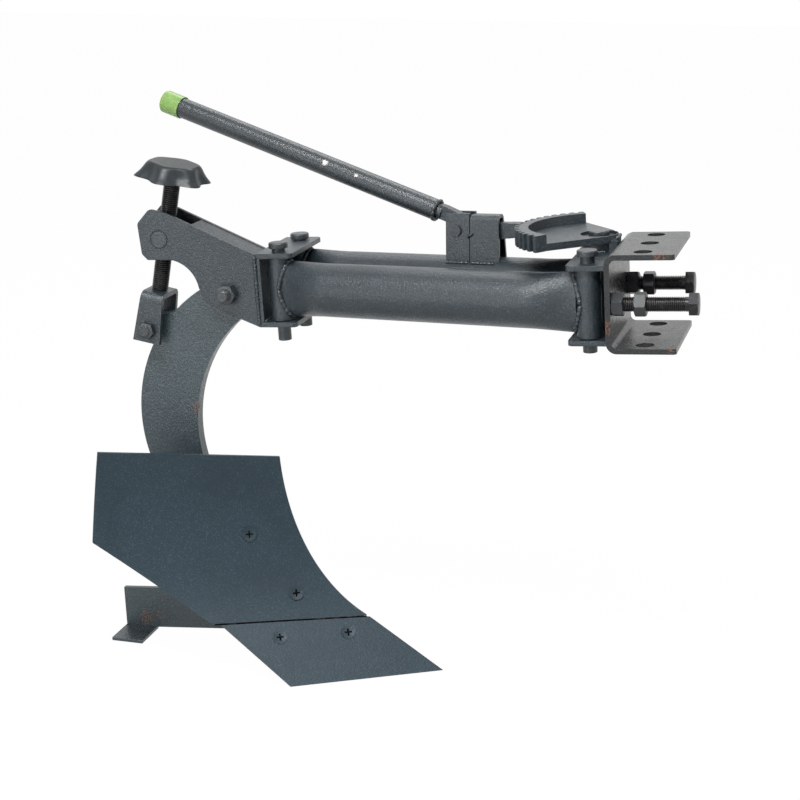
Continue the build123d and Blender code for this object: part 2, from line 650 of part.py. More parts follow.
def mouldboard():
    """Plate rolled about an axis along the cutting edge, with a curved shin and straight sides."""
    sheet = board_band(BOARD_R, BOARD_R + BOARD_T, 50, 290, -430, 0)
    shin = Spline(*BOARD_SHIN)
    edges = Polyline(BOARD_SHIN[-1], *BOARD_CORNERS, BOARD_SHIN[0])
    sheet &= side_view(make_face([shin, edges]), -10, 140)
    for x, z in BOARD_BOLTS:
        sheet -= board_bolt(x, z, RUNNING)
    return BODY * sheet


def countersunk(start, direction, grip, gap=0.0):
    """Countersunk bolt from its flush face inwards, with its nut when it isn't a cutting tool."""
    plane = Plane(origin=start, z_dir=direction)
    head = plane * Cone(PLOUGH_HEAD_R + gap, PLOUGH_BOLT_R + gap, 4.0,
                        align=(Align.CENTER, Align.CENTER, Align.MIN))
    length = grip + (24 if gap else 10)
    bolt = head + rod(PLOUGH_BOLT_R + gap, start, direction, length)
    if not gap:
        far = plane.location.position + plane.z_dir * grip
        bolt += hexagon(17.0, far, direction, 8.0)
    return bolt


def board_bolt(x, z, gap=0.0):
    n = BOARD_CENTRE[0] + sqrt(BOARD_R ** 2 - (z - BOARD_CENTRE[1]) ** 2)
    away = Vector(0, n - BOARD_CENTRE[0], z - BOARD_CENTRE[1]).normalized()
    return countersunk(Vector(x, n, z), away, BOARD_T + FROG_T + 0.4, gap)


def share_bolt(x, z, gap=0.0):
    y, top = SHARE_TOP
    away = Vector(0, top, -y).normalized()
    return countersunk(Vector(x, y * z / top, z), away, SHARE_T + FROG_T + 0.4, gap)


def plough_bolts():
    bolts = [BODY * board_bolt(x, z) for x, z in BOARD_BOLTS]
    return bolts + [BODY * share_bolt(x, z) for x, z in SHARE_BOLTS]


def frog():
    """Seat behind the share and mouldboard, welded to a flange on the shank's right face."""
    gap = 0.2
    face = board_band(BOARD_R + BOARD_T + gap, BOARD_R + BOARD_T + gap + FROG_T, 67, 196, -250, -130)
    y, z = SHARE_TOP
    run = hypot(y, z)
    away = (z / run, -y / run)
    near, far = SHARE_T + gap, SHARE_T + gap + FROG_T
    section = outline(*[(a * y + off * away[0], a * z + off * away[1])
                        for a, off in ((0.55, near), (1.06, near), (1.06, far), (0.55, far))])
    plane = Plane(origin=(-100, 0, 0), x_dir=(0, 1, 0), z_dir=(1, 0, 0))
    face += extrude(plane * section, -108)
    for bolt in [board_bolt(x, z, RUNNING) for x, z in BOARD_BOLTS]:
        face -= bolt
    for bolt in [share_bolt(x, z, RUNNING) for x, z in SHARE_BOLTS]:
        face -= bolt
    seat = BODY * face
    y1 = SHANK_Y - SHANK_T / 2 - 0.1
    seat &= slab((-700, 0), (-300, y1), (FLOOR_Z, 0))
    flange = side_view(outline((-372, -405), (-405, -300), (-440, -262), (-520, -262), (-548, -398)),
                       y1 - FROG_T, y1)
    clear = board_band(100, BOARD_R + BOARD_T + gap, -400, 400, -500, 100)
    wedge = outline((-200, -50), (0, 0), (y, z), (y + near * away[0], z + near * away[1]),
                    (near * away[0] - 0.2 * y, near * away[1] - 0.2 * z))
    clear += extrude(Plane(origin=(100, 0, 0), x_dir=(0, 1, 0), z_dir=(1, 0, 0)) * wedge, -600)
    flange -= BODY * clear
    for x, z in BOARD_BOLTS:
        flange -= BODY * board_bolt(x, z, NUT_CLEAR)
    for x, z in SHARE_BOLTS:
        flange -= BODY * share_bolt(x, z, NUT_CLEAR)
    for x, z in landside_bolt_centres():
        flange -= rod(PLOUGH_BOLT_R + RUNNING, (x, 0, z), (0, 1, 0), 80)
    return seat + flange


def landside_y():
    return SHANK_Y + SHANK_T / 2 + 0.1


def landside():
    piece = side_view(outline(*LANDSIDE_OUTLINE), landside_y(), landside_y() + LANDSIDE_T)
    for x, z in landside_bolt_centres():
        piece -= rod(PLOUGH_BOLT_R + RUNNING, (x, 0, z), (0, 1, 0), 80)
    return piece


def heel_foot():
    return slab(HEEL_X, (HEEL_Y, landside_y() + LANDSIDE_T), (FLOOR_Z, FLOOR_Z + HEEL_T))


def landside_bolts():
    """Two bolts through the frog's flange, the shank and the landside."""
    y0 = SHANK_Y - SHANK_T / 2 - 0.1 - FROG_T
    y1 = landside_y() + LANDSIDE_T
    bolts = []
    for x, z in landside_bolt_centres():
        bolt = rod(PLOUGH_BOLT_R, (x, y0, z), (0, 1, 0), y1 - y0 + 3)
        bolt += hexagon(17.0, (x, y0, z), (0, -1, 0), 6.5)
        bolts.append(bolt + hexagon(17.0, (x, y1, z), (0, 1, 0), 8.0))
    return bolts


def placed(frame, shapes):
    """One node from a solid or from like solids that don't touch."""
    if isinstance(shapes, list):
        return Compound(children=[frame * shape for shape in shapes])
    return frame * shapes


TOP_Z = PLATE_GAP
BOTTOM_Z = -PLATE_T
STANDING = Location((0, 0, 0))

NODES = {
    "hitch_channel": (HITCH, hitch_channel()),
    "front_top_plate": (HITCH, front_plate(TOP_Z)),
    "front_bottom_plate": (HITCH, front_plate(BOTTOM_Z)),
    "sector": (HITCH, sector()),
    "front_pins": (HITCH, front_pins()),
    "adjuster_bolts": (HITCH, adjuster_bolts()),
    "adjuster_nuts": (HITCH, adjuster_nuts()),
    "right_beam_tube": (NEAR_BEAM, beam_tube()),
    "right_beam_sleeves": (NEAR_BEAM, beam_sleeves()),
    "left_beam_tube": (FAR_BEAM, beam_tube()),
    "left_beam_sleeves": (FAR_BEAM, beam_sleeves()),
    "lever_guide": (FAR_BEAM, lever_guide()),
    "lever_bracket": (FAR_BEAM, lever_bracket()),
    "lever_pin": (FAR_BEAM, lever_pin()),
    "lever_bar": (FAR_BEAM, lever_bar()),
    "handle_tube": (FAR_BEAM, handle_tube()),
    "handle_cap": (FAR_BEAM, handle_cap()),
    "rear_back_plate": (HITCH, rear_back_plate()),
    "rear_top_plate": (HITCH, rear_plate(TOP_Z)),
    "rear_bottom_plate": (HITCH, rear_plate(BOTTOM_Z)),
    "rear_pins": (HITCH, rear_pins()),
    "right_side_plate": (HITCH, side_plate(-1)),
    "left_side_plate": (HITCH, side_plate(1)),
    "cover_plate": (HITCH, cover_plate()),
    "pivot_bolt": (HITCH, pivot_bolt()),
    "trunnion": (HITCH, trunnion()),
    "adjusting_screw": (SCREW, adjusting_screw()),
    "screw_knob": (SCREW, screw_knob()),
    "screw_fork": (SCREW, screw_fork()),
    "fork_bolt": (SCREW, fork_bolt()),
    "shank": (STANDING, shank()),
    "frog": (STANDING, frog()),
    "share": (STANDING, share()),
    "mouldboard": (STANDING, mouldboard()),
    "plough_bolts": (STANDING, plough_bolts()),
    "landside": (STANDING, landside()),
    "landside_bolts": (STANDING, landside_bolts()),
    "heel_foot": (STANDING, heel_foot()),
}

os.makedirs("parts", exist_ok=True)
for node, (frame, shape) in NODES.items():
    export_step(placed(frame, shape), f"parts/{node}.step")
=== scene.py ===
import math
import random

import bmesh
import bpy
from mathutils import Matrix, Vector

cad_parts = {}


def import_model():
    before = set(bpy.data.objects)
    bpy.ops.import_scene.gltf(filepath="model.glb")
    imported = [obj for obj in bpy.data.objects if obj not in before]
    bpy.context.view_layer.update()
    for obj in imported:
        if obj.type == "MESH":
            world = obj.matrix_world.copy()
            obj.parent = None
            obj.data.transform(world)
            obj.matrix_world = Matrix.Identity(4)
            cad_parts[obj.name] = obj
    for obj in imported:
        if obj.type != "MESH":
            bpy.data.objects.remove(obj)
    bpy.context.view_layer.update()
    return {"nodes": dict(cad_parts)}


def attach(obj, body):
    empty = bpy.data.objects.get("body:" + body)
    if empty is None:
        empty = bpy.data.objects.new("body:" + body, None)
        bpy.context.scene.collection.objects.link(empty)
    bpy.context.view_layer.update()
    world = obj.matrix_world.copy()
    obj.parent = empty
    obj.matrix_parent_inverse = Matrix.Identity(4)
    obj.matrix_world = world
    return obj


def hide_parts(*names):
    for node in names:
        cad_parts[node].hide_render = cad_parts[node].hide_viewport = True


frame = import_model()
NODES = frame["nodes"]
SCENE = bpy.context.scene
MM = 0.001

# The part's frames, as in its source: hitch frame, beams, pitch screw and plough body.
FLOOR_Z = -446.0
HITCH_LEAN = -3.5
HITCH_PINS = (-62.3, 0, 11.2)
SWING_DEGREES = 12.6
SWING = math.radians(SWING_DEGREES)
HALF_PINS = 39.0
BEAM_L = 396.0
TUBE_Z = 38.5
SHANK_Y = BEAM_L * math.sin(SWING) - 35.4
REAR_X = -BEAM_L * math.cos(SWING)
PIVOT = (-447.7, 35.7)
TRUNNION = (-531.0, 101.9)
FORK_EYE = (-555.7, -8.9)
POINT = (-245.6, 39.5)
EDGE_ANGLE = math.radians(30.3)
BOARD_CENTRE = (-229.1, 243.6)
BOARD_R = 336.2
SHARE_TOP = (56.4, 65.8)

# Bolts and screws, in millimetres.
ADJUSTER_Y = 57.0
ADJUSTER_Z = 41.0
ADJUSTER_R = 8.0
ADJUSTER_PITCH = 2.0
ADJUSTER_FLATS = 24.0
ADJUSTER_LENGTH = 90.0
ADJUSTER_HEAD = 10.0
ADJUSTER_NUT = 13.0
SCREW_R = 10.0
SCREW_PITCH = 2.5
SCREW_TOP = 85.0
SCREW_ABOVE_EYE = 46.5
BOARD_SCREWS = ((-221.7, 164.0), (-169.4, 91.6))
BOARD_GRIP = 10.4
BOARD_PROUD = 1.95
SHARE_SCREWS = ((-196.0, 48.2), (-111.0, 46.3))
SHARE_GRIP = 12.4
SHARE_PROUD = 0.7
DISH_R = 8.0
DISH_RINGS = (0.3, 0.7, 1.0, 1.3, 2.2, 3.2, 4.2, 4.5, 5.4, 6.4, 7.4, 8.3, 8.9)
CHAMFER_SLOPE = 0.58
SLOT_REACH = 4.4
SLOT_HALF = 0.95
SLOT_DEPTH = 0.8
LANDSIDE_BOLTS = ((-525.0, -392.0), (-498.0, -386.0))

# Colours, linear, and marks in the paint as (x, y, z, radius) in millimetres of the frame.
SLATE = (0.017, 0.025, 0.031)
SLATE_FLECK = (0.064, 0.080, 0.092)
BLUE = (0.016, 0.030, 0.041)
BLUE_FLECK = (0.042, 0.064, 0.080)
RUBBED_EDGE = (0.11, 0.075, 0.055)
RUST = (0.15, 0.065, 0.035)
BARE_METAL = (0.50, 0.49, 0.47)
HANDLE_CHIPS = ((-413, 104, 166, 5), (-371, 95, 153, 3))
CHANNEL_RUST = ((14, -71, 107, 11), (-38, -71, 27, 10), (32, -71, 7, 8), (34, 73, 24, 7))
BODY_RUST = ((-562, 43, -134, 12), (-649, 59, -429, 14), (-630, 59, -424, 8))
BODY_CHIPS = ((-573, 43, -235, 4), (-560, 43, -247, 4), (-548, 43, -258, 4), (-537, 43, -268, 5))

# Camera, worked out from the plough's parallel edges, and the point that the lamps aim at, in metres.
CAMERA_PLACE = (0.24643, -1.89496, 0.46697)
CAMERA_RIGHT = (0.962208695, 0.272312722, -0.000457140)
CAMERA_UP = (-0.07393455, 0.26286041, 0.96199693)
CAMERA_AHEAD = (-0.26208417, 0.92560801, -0.27305989)
CAMERA_LENS = 79.08
AIM = (-0.3, 0.0, -0.1)
AMBIENT = 0.09


def turn(degrees, axis):
    """Rotation matrix from degrees."""
    return Matrix.Rotation(math.radians(degrees), 4, axis)


HITCH = turn(HITCH_LEAN, "Y") @ Matrix.Translation(HITCH_PINS)
NEAR_BEAM = HITCH @ Matrix.Translation((0, -HALF_PINS, 0)) @ turn(180 - SWING_DEGREES, "Z")
FAR_BEAM = HITCH @ Matrix.Translation((0, HALF_PINS, 0)) @ turn(180 - SWING_DEGREES, "Z")
SCREW_LEAN = math.atan2(TRUNNION[0] - FORK_EYE[0], TRUNNION[1] - FORK_EYE[1])
EYE_BELOW = math.hypot(TRUNNION[0] - FORK_EYE[0], TRUNNION[1] - FORK_EYE[1])
SCREW = HITCH @ Matrix.Translation((TRUNNION[0], SHANK_Y, TRUNNION[1])) @ Matrix.Rotation(SCREW_LEAN, 4, "Y")
BODY = Matrix.Translation((POINT[0], POINT[1], FLOOR_Z)) @ Matrix.Rotation(EDGE_ANGLE, 4, "Z")
STANDING = Matrix.Identity(4)


# Materials

def shader(name):
    """New material with its tree and its surface node."""
    material = bpy.data.materials.new(name)
    material.use_nodes = True
    tree = material.node_tree
    return material, tree, tree.nodes["Principled BSDF"]


def add(tree, kind, **values):
    """New node with its properties and unlinked sockets set by name."""
    node = tree.nodes.new(kind)
    for key, value in values.items():
        if hasattr(node, key):
            setattr(node, key, value)
        else:
            node.inputs[key.replace("_", " ")].default_value = value
    return node


def maths(tree, operation, a, b=0.0, c=0.0):
    """Output of a maths node on numbers or sockets."""
    node = tree.nodes.new("ShaderNodeMath")
    node.operation = operation
    for socket, value in zip(node.inputs, (a, b, c)):
        if isinstance(value, (int, float)):
            socket.default_value = value
        else:
            tree.links.new(value, socket)
    return node.outputs[0]


def fractal(tree, coord, scale, detail=3.0, roughness=0.55):
    """Noise from 0 to 1, its scale in cells to the metre."""
    node = add(tree, "ShaderNodeTexNoise", Scale=scale, Detail=detail, Roughness=roughness)
    tree.links.new(coord, node.inputs["Vector"])
    return node.outputs["Fac"]


def ramp(tree, value, low, high):
    """Smooth step from 0 at low to 1 at high."""
    node = add(tree, "ShaderNodeMapRange", interpolation_type="SMOOTHSTEP")
    tree.links.new(value, node.inputs["Value"])
    node.inputs["From Min"].default_value = low
    node.inputs["From Max"].default_value = high
    return node.outputs["Result"]


def mix(tree, factor, a, b):
    """Colour between a and b."""
    node = tree.nodes.new("ShaderNodeMix")
    node.data_type = "RGBA"
    for socket, value in ((node.inputs[0], factor), (node.inputs[6], a), (node.inputs[7], b)):
        if isinstance(value, tuple):
            socket.default_value = (*value, 1.0)
        elif isinstance(value, (int, float)):
            socket.default_value = value
        else:
            tree.links.new(value, socket)
    return node.outputs[2]


def near_points(tree, coord, points):
    """1 near any of the given (x, y, z, radius) points, in millimetres, falling to 0 at the radius."""
    total = 0.0
    for x, y, z, radius in points:
        node = add(tree, "ShaderNodeVectorMath", operation="DISTANCE")
        tree.links.new(coord, node.inputs[0])
        node.inputs[1].default_value = (x * MM, y * MM, z * MM)
        close = ramp(tree, node.outputs["Value"], radius * MM, 0.35 * radius * MM)
        total = maths(tree, "MAXIMUM", close, total)
    return total


def edge_wear(tree, radius, coord):
    """Strength of wear along convex and concave edges, broken up by noise."""
    bevel = add(tree, "ShaderNodeBevel", samples=4, Radius=radius)
    geometry = tree.nodes.new("ShaderNodeNewGeometry")
    dot = add(tree, "ShaderNodeVectorMath", operation="DOT_PRODUCT")
    tree.links.new(bevel.outputs["Normal"], dot.inputs[0])
    tree.links.new(geometry.outputs["True Normal"], dot.inputs[1])
    off = maths(tree, "SUBTRACT", 1.0, dot.outputs["Value"])
    edge = ramp(tree, off, 0.01, 0.12)
    patch = ramp(tree, fractal(tree, coord, 95.0, 4.0), 0.52, 0.66)
    return maths(tree, "MULTIPLY", edge, patch)


def add_bump(tree, bsdf, height, strength, distance):
    """Tilts the surface's normals by a height over a distance in metres."""
    bump = add(tree, "ShaderNodeBump", Strength=strength, Distance=distance)
    tree.links.new(height, bump.inputs["Height"])
    tree.links.new(bump.outputs["Normal"], bsdf.inputs["Normal"])


def paint(name, base, fleck, rough=0.25, grain=0.32, rust=(), chips=(), wear=0.7, gloss=0.55):
    """Hammered dark paint: fine grain, paler flecks, cloudy tone, worn edges, rust and bare chips."""
    material, tree, bsdf = shader(name)
    coord = tree.nodes.new("ShaderNodeTexCoord").outputs["Object"]
    fine = fractal(tree, coord, 640.0, 3.0, 0.7)
    cloud = fractal(tree, coord, 16.0, 4.0)
    dirt = fractal(tree, coord, 60.0, 5.0, 0.65)
    colour = mix(tree, ramp(tree, fine, 0.52, 0.68), base, fleck)
    darker = tuple(0.72 * c for c in base)
    colour = mix(tree, maths(tree, "MULTIPLY", ramp(tree, cloud, 0.4, 0.7), 0.45), colour, darker)
    dust = tuple(1.5 * c + 0.01 for c in base)
    colour = mix(tree, maths(tree, "MULTIPLY", ramp(tree, dirt, 0.55, 0.78), 0.35), colour, dust)
    worn = maths(tree, "MULTIPLY", edge_wear(tree, 0.0013, coord), wear)
    colour = mix(tree, worn, colour, RUBBED_EDGE)
    speck = ramp(tree, fractal(tree, coord, 420.0, 3.0), 0.50, 0.60)
    roughness = maths(tree, "MULTIPLY_ADD", dirt, 0.22, rough - 0.10)
    if rust:
        mask = maths(tree, "MULTIPLY", near_points(tree, coord, rust), speck)
        colour = mix(tree, mask, colour, RUST)
        roughness = maths(tree, "MAXIMUM", roughness, maths(tree, "MULTIPLY", mask, 0.8))
    if chips:
        patch = ramp(tree, fractal(tree, coord, 260.0, 2.0), 0.38, 0.46)
        mask = maths(tree, "MULTIPLY", near_points(tree, coord, chips), patch)
        colour = mix(tree, mask, colour, BARE_METAL)
    tree.links.new(colour, bsdf.inputs["Base Color"])
    tree.links.new(roughness, bsdf.inputs["Roughness"])
    bsdf.inputs["Metallic"].default_value = 0.1
    bsdf.inputs["Specular IOR Level"].default_value = gloss
    height = maths(tree, "MULTIPLY_ADD", fine, 0.8, fractal(tree, coord, 320.0, 3.0))
    add_bump(tree, bsdf, height, grain, 0.0012)
    return material


def oxide(name, base, rust_colour=(0.16, 0.09, 0.05), rusty=0.25, metallic=0.7, rough=0.42):
    """Black-oxide steel with a brownish bloom and bright rubbed edges."""
    material, tree, bsdf = shader(name)
    coord = tree.nodes.new("ShaderNodeTexCoord").outputs["Object"]
    bloom = ramp(tree, fractal(tree, coord, 140.0, 5.0, 0.6), 0.5, 0.72)
    colour = mix(tree, maths(tree, "MULTIPLY", bloom, rusty), base, rust_colour)
    worn = maths(tree, "MULTIPLY", edge_wear(tree, 0.0006, coord), 0.55)
    colour = mix(tree, worn, colour, (0.15, 0.14, 0.135))
    tree.links.new(colour, bsdf.inputs["Base Color"])
    roughness = maths(tree, "MULTIPLY_ADD", bloom, 0.2, rough - 0.08)
    tree.links.new(roughness, bsdf.inputs["Roughness"])
    bsdf.inputs["Metallic"].default_value = metallic
    add_bump(tree, bsdf, fractal(tree, coord, 900.0, 2.0), 0.12, 0.0003)
    return material


def plastic(name, base):
    """Soft dipped vinyl with scuffs."""
    material, tree, bsdf = shader(name)
    coord = tree.nodes.new("ShaderNodeTexCoord").outputs["Object"]
    scuff = ramp(tree, fractal(tree, coord, 120.0, 5.0, 0.7), 0.52, 0.75)
    pale = tuple(min(1.0, 1.25 * c + 0.03) for c in base)
    tree.links.new(mix(tree, scuff, base, pale), bsdf.inputs["Base Color"])
    roughness = maths(tree, "MULTIPLY_ADD", scuff, 0.25, 0.32)
    tree.links.new(roughness, bsdf.inputs["Roughness"])
    bsdf.inputs["Subsurface Weight"].default_value = 0.05
    add_bump(tree, bsdf, fractal(tree, coord, 300.0, 3.0), 0.06, 0.0005)
    return material


FRAME_PAINT = paint("frame_paint", SLATE, SLATE_FLECK, rough=0.30, grain=0.4, gloss=0.5)
HANDLE_PAINT = paint("handle_paint", (0.017, 0.023, 0.028), (0.050, 0.062, 0.070), rough=0.30,
                     chips=HANDLE_CHIPS)
CHANNEL_PAINT = paint("channel_paint", (0.015, 0.017, 0.018), (0.034, 0.037, 0.039), rough=0.26, grain=0.2,
                      gloss=0.45, rust=CHANNEL_RUST)
BODY_PAINT = paint("body_paint", (0.027, 0.042, 0.049), (0.055, 0.074, 0.084), rust=BODY_RUST,
                   chips=BODY_CHIPS)
SCREW_PAINT = paint("screw_paint", (0.012, 0.026, 0.036), (0.032, 0.052, 0.066), rough=0.42, wear=0.0,
                    gloss=0.35)
BOARD_PAINT = paint("board_paint", BLUE, BLUE_FLECK, rough=0.46, grain=0.22, wear=0.8, gloss=0.3)
KNOB_PAINT = paint("knob_paint", (0.010, 0.014, 0.017), (0.024, 0.031, 0.035), rough=0.36, grain=0.15,
                   gloss=0.4)
PIN_PAINT = paint("pin_paint", (0.022, 0.028, 0.033), (0.060, 0.069, 0.076), rough=0.30)
BOLT = oxide("bolt_oxide", (0.022, 0.023, 0.025))
RUSTY_BOLT = oxide("bolt_rusty", (0.024, 0.028, 0.031), (0.14, 0.07, 0.04), rusty=0.22, metallic=0.2)
# Near-black: painted shade in the screws' cross slots, and dark dirt along the seam of board and share.
SLOT_SHADE_SEAM_DIRT = oxide("slot_shade_seam_dirt", (0.005, 0.004, 0.004), rusty=0.0, metallic=1.0, rough=0.8)
GREEN = plastic("cap_green", (0.165, 0.285, 0.070))

NODE_MATERIAL = {
    "hitch_channel": CHANNEL_PAINT, "front_pins": PIN_PAINT, "rear_pins": PIN_PAINT,
    "lever_pin": PIN_PAINT, "handle_tube": HANDLE_PAINT,
    "handle_cap": GREEN, "trunnion": PIN_PAINT, "screw_knob": KNOB_PAINT,
    "shank": BODY_PAINT, "frog": BODY_PAINT, "landside": BODY_PAINT, "heel_foot": BODY_PAINT,
    "share": BOARD_PAINT, "mouldboard": BOARD_PAINT, "plough_bolts": BOLT, "landside_bolts": BOLT,
    "adjuster_bolts": BOLT, "adjuster_nuts": RUSTY_BOLT, "pivot_bolt": PIN_PAINT,
    "adjusting_screw": BOLT, "fork_bolt": PIN_PAINT,
}
for node_name, node_object in NODES.items():
    node_object.data.materials.clear()
    node_object.data.materials.append(NODE_MATERIAL.get(node_name, FRAME_PAINT))


# Softened edges on the solids

def smooth_by_angle(limit):
    """Geometry nodes that shade smooth and keep edges sharper than the limit."""
    group = bpy.data.node_groups.new("smooth_by_angle", "GeometryNodeTree")
    group.interface.new_socket("Geometry", in_out="INPUT", socket_type="NodeSocketGeometry")
    group.interface.new_socket("Geometry", in_out="OUTPUT", socket_type="NodeSocketGeometry")
    inputs = group.nodes.new("NodeGroupInput")
    outputs = group.nodes.new("NodeGroupOutput")
    faces = group.nodes.new("GeometryNodeSetShadeSmooth")
    edges = group.nodes.new("GeometryNodeSetShadeSmooth")
    edges.domain = "EDGE"
    angle = group.nodes.new("GeometryNodeInputMeshEdgeAngle")
    compare = group.nodes.new("FunctionNodeCompare")
    compare.operation = "LESS_THAN"
    compare.inputs["B"].default_value = math.radians(limit)
    faces.inputs["Shade Smooth"].default_value = True
    group.links.new(inputs.outputs[0], faces.inputs["Geometry"])
    group.links.new(faces.outputs[0], edges.inputs["Geometry"])
    group.links.new(angle.outputs["Unsigned Angle"], compare.inputs["A"])
    group.links.new(compare.outputs[0], edges.inputs["Shade Smooth"])
    group.links.new(edges.outputs[0], outputs.inputs[0])
    return group


SHARP_EDGE = 32.0
EDGE_ROUNDING = 0.7
SMOOTH = smooth_by_angle(SHARP_EDGE)


def soften(solid, width):
    """Joins the solid's faces and rounds its edges by a small bevel."""
    weld = solid.modifiers.new("weld", "WELD")
    weld.merge_threshold = 0.02 * MM
    flat = solid.modifiers.new("flat", "DECIMATE")
    flat.decimate_type = "DISSOLVE"
    flat.angle_limit = math.radians(0.4)
    if width:
        bevel = solid.modifiers.new("edges", "BEVEL")
        bevel.width = width * MM
        bevel.segments = 2
        bevel.limit_method = "ANGLE"
        bevel.angle_limit = math.radians(SHARP_EDGE)
        bevel.use_clamp_overlap = True
    smooth = solid.modifiers.new("smooth", "NODES")
    smooth.node_group = SMOOTH
    flatten = solid.modifiers.new("flat_normals", "WEIGHTED_NORMAL")
    flatten.keep_sharp = True


# Mesh pieces

def piece(name, body, bm, material, place):
    """Turns a bmesh in millimetres into an object that rides on a body."""
    bmesh.ops.remove_doubles(bm, verts=bm.verts, dist=0.001)
    bmesh.ops.recalc_face_normals(bm, faces=bm.faces)
    mesh = bpy.data.meshes.new(name)
    bm.to_mesh(mesh)
    bm.free()
    mesh.transform(Matrix.Scale(MM, 4) @ place)
    made = bpy.data.objects.new(name, mesh)
    SCENE.collection.objects.link(made)
    mesh.materials.append(material)
    for polygon in mesh.polygons:
        polygon.use_smooth = True
    mesh.set_sharp_from_angle(angle=math.radians(35))
    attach(made, body)
    return made


def angles(count):
    """Equal steps round a full turn, in radians."""
    return [2 * math.pi * i / count for i in range(count)]


def circle(matrix, radius, z, count):
    """Points of a circle about the matrix's Z axis."""
    return [matrix @ Vector((radius * math.cos(a), radius * math.sin(a), z)) for a in angles(count)]


def rings_to_mesh(bm, rings, cap=True):
    """Skins a list of closed rings of equal length."""
    rows = [[bm.verts.new(p) for p in ring] for ring in rings]
    count = len(rows[0])
    for a, b in zip(rows, rows[1:]):
        for i in range(count):
            j = (i + 1) % count
            bm.faces.new((a[i], a[j], b[j], b[i]))
    if cap:
        bm.faces.new(list(reversed(rows[0])))
        bm.faces.new(rows[-1])


def axis_matrix(start, direction):
    """Z along direction, origin at start, in millimetres."""
    direction = Vector(direction).normalized()
    return Matrix.Translation(Vector(start)) @ direction.to_track_quat("Z", "Y").to_matrix().to_4x4()


def lathe(bm, profile, matrix, count=32):
    """Solid of revolution from (radius, z) points."""
    rings_to_mesh(bm, [circle(matrix, radius, z, count) for radius, z in profile])


def threads(bm, radius, pitch, z0, z1, matrix, lead=1.5, count=28, steps=8):
    """Threaded rod between two heights, its ridges fading at both ends."""
    depth = 0.54 * pitch
    rows = max(2, int((z1 - z0) / pitch * steps))
    core = 0.6 * radius
    rings = [circle(matrix, core, z0, count)]
    for row in range(rows + 1):
        z = z0 + (z1 - z0) * row / rows
        fade = min(1.0, (z - z0) / lead, (z1 - z) / lead)
        ring = []
        for i, a in enumerate(angles(count)):
            phase = (z / pitch - i / count) % 1.0
            crest = min(1.0, max(0.0, 2.1 - abs(2 * phase - 1) * 2.6))
            r = radius - depth + depth * crest * max(0.0, fade)
            ring.append(matrix @ Vector((r * math.cos(a), r * math.sin(a), z)))
        rings.append(ring)
    rings.append(circle(matrix, core, z1, count))
    rings_to_mesh(bm, rings)


def hex_body(bm, flats, z0, z1, matrix, spin=0.0, bore=0.0, both=False):
    """Hexagon bolt head or nut with turned chamfers."""
    count = 72
    half = flats / 2

    def edge(a):
        local = (a + math.pi / 6) % (math.pi / 3) - math.pi / 6
        return half / math.cos(local)

    def ring(radius, z, lift=0.0):
        points = []
        for a in angles(count):
            r = radius(a)
            chamfer = lift * max(0.0, r - half * 0.97)
            points.append(matrix @ Vector((r * math.cos(a + spin), r * math.sin(a + spin), z + chamfer)))
        return points

    inner = bore if bore else 0.02
    rings = [ring(lambda a: inner, z0)]
    if both:
        rings += [ring(lambda a: half * 0.95, z0), ring(edge, z0, CHAMFER_SLOPE)]
    else:
        rings += [ring(edge, z0)]
    rings += [ring(edge, z1, -CHAMFER_SLOPE), ring(lambda a: half * 0.95, z1), ring(lambda a: inner, z1)]
    if bore:
        rings.append(rings[0])
        rings_to_mesh(bm, rings, cap=False)
    else:
        rings_to_mesh(bm, rings)


def weld_bead(name, body, lines, radius, place, material=FRAME_PAINT, seed=1):
    """Rippled weld beads along polylines, in millimetres of the given frame."""
    bm = bmesh.new()
    rng = random.Random(seed)
    for line in lines:
        points = [Vector(p) for p in line]
        lengths = [(b - a).length for a, b in zip(points, points[1:])]
        total = sum(lengths)
        steps = max(3, int(total / (radius * 0.35)))
        track = []
        for s in range(steps + 1):
            d = total * s / steps
            k = 0
            while k < len(lengths) - 1 and d > lengths[k]:
                d -= lengths[k]
                k += 1
            track.append(points[k].lerp(points[k + 1], min(1.0, d / lengths[k])))
        rings = []
        count = 10
        phase = rng.random() * 9
        side = (track[1] - track[0]).orthogonal()
        for s, here in enumerate(track):
            ahead = (track[min(s + 1, steps)] - track[max(s - 1, 0)]).normalized()
            side = (side - ahead * side.dot(ahead)).normalized()
            up = side.cross(ahead)
            end = min(1.0, 0.35 + min(s, steps - s) * 0.4)
            ripple = 0.80 + 0.22 * abs(math.sin(phase + s * 0.55)) + 0.22 * (rng.random() - 0.5)
            r = radius * ripple * end
            rings.append([here + side * r * math.cos(a) + up * r * math.sin(a)
                          for a in angles(count)])
        rings_to_mesh(bm, rings)
    return piece(name, body, bm, material, place)


def circle_line(cx, cy, z, radius, a0, a1, count=24):
    """Points of an arc in the XY plane, angles in degrees."""
    return [(cx + radius * math.cos(math.radians(a0 + (a1 - a0) * i / count)),
             cy + radius * math.sin(math.radians(a0 + (a1 - a0) * i / count)), z) for i in range(count + 1)]


# Bolts and screws

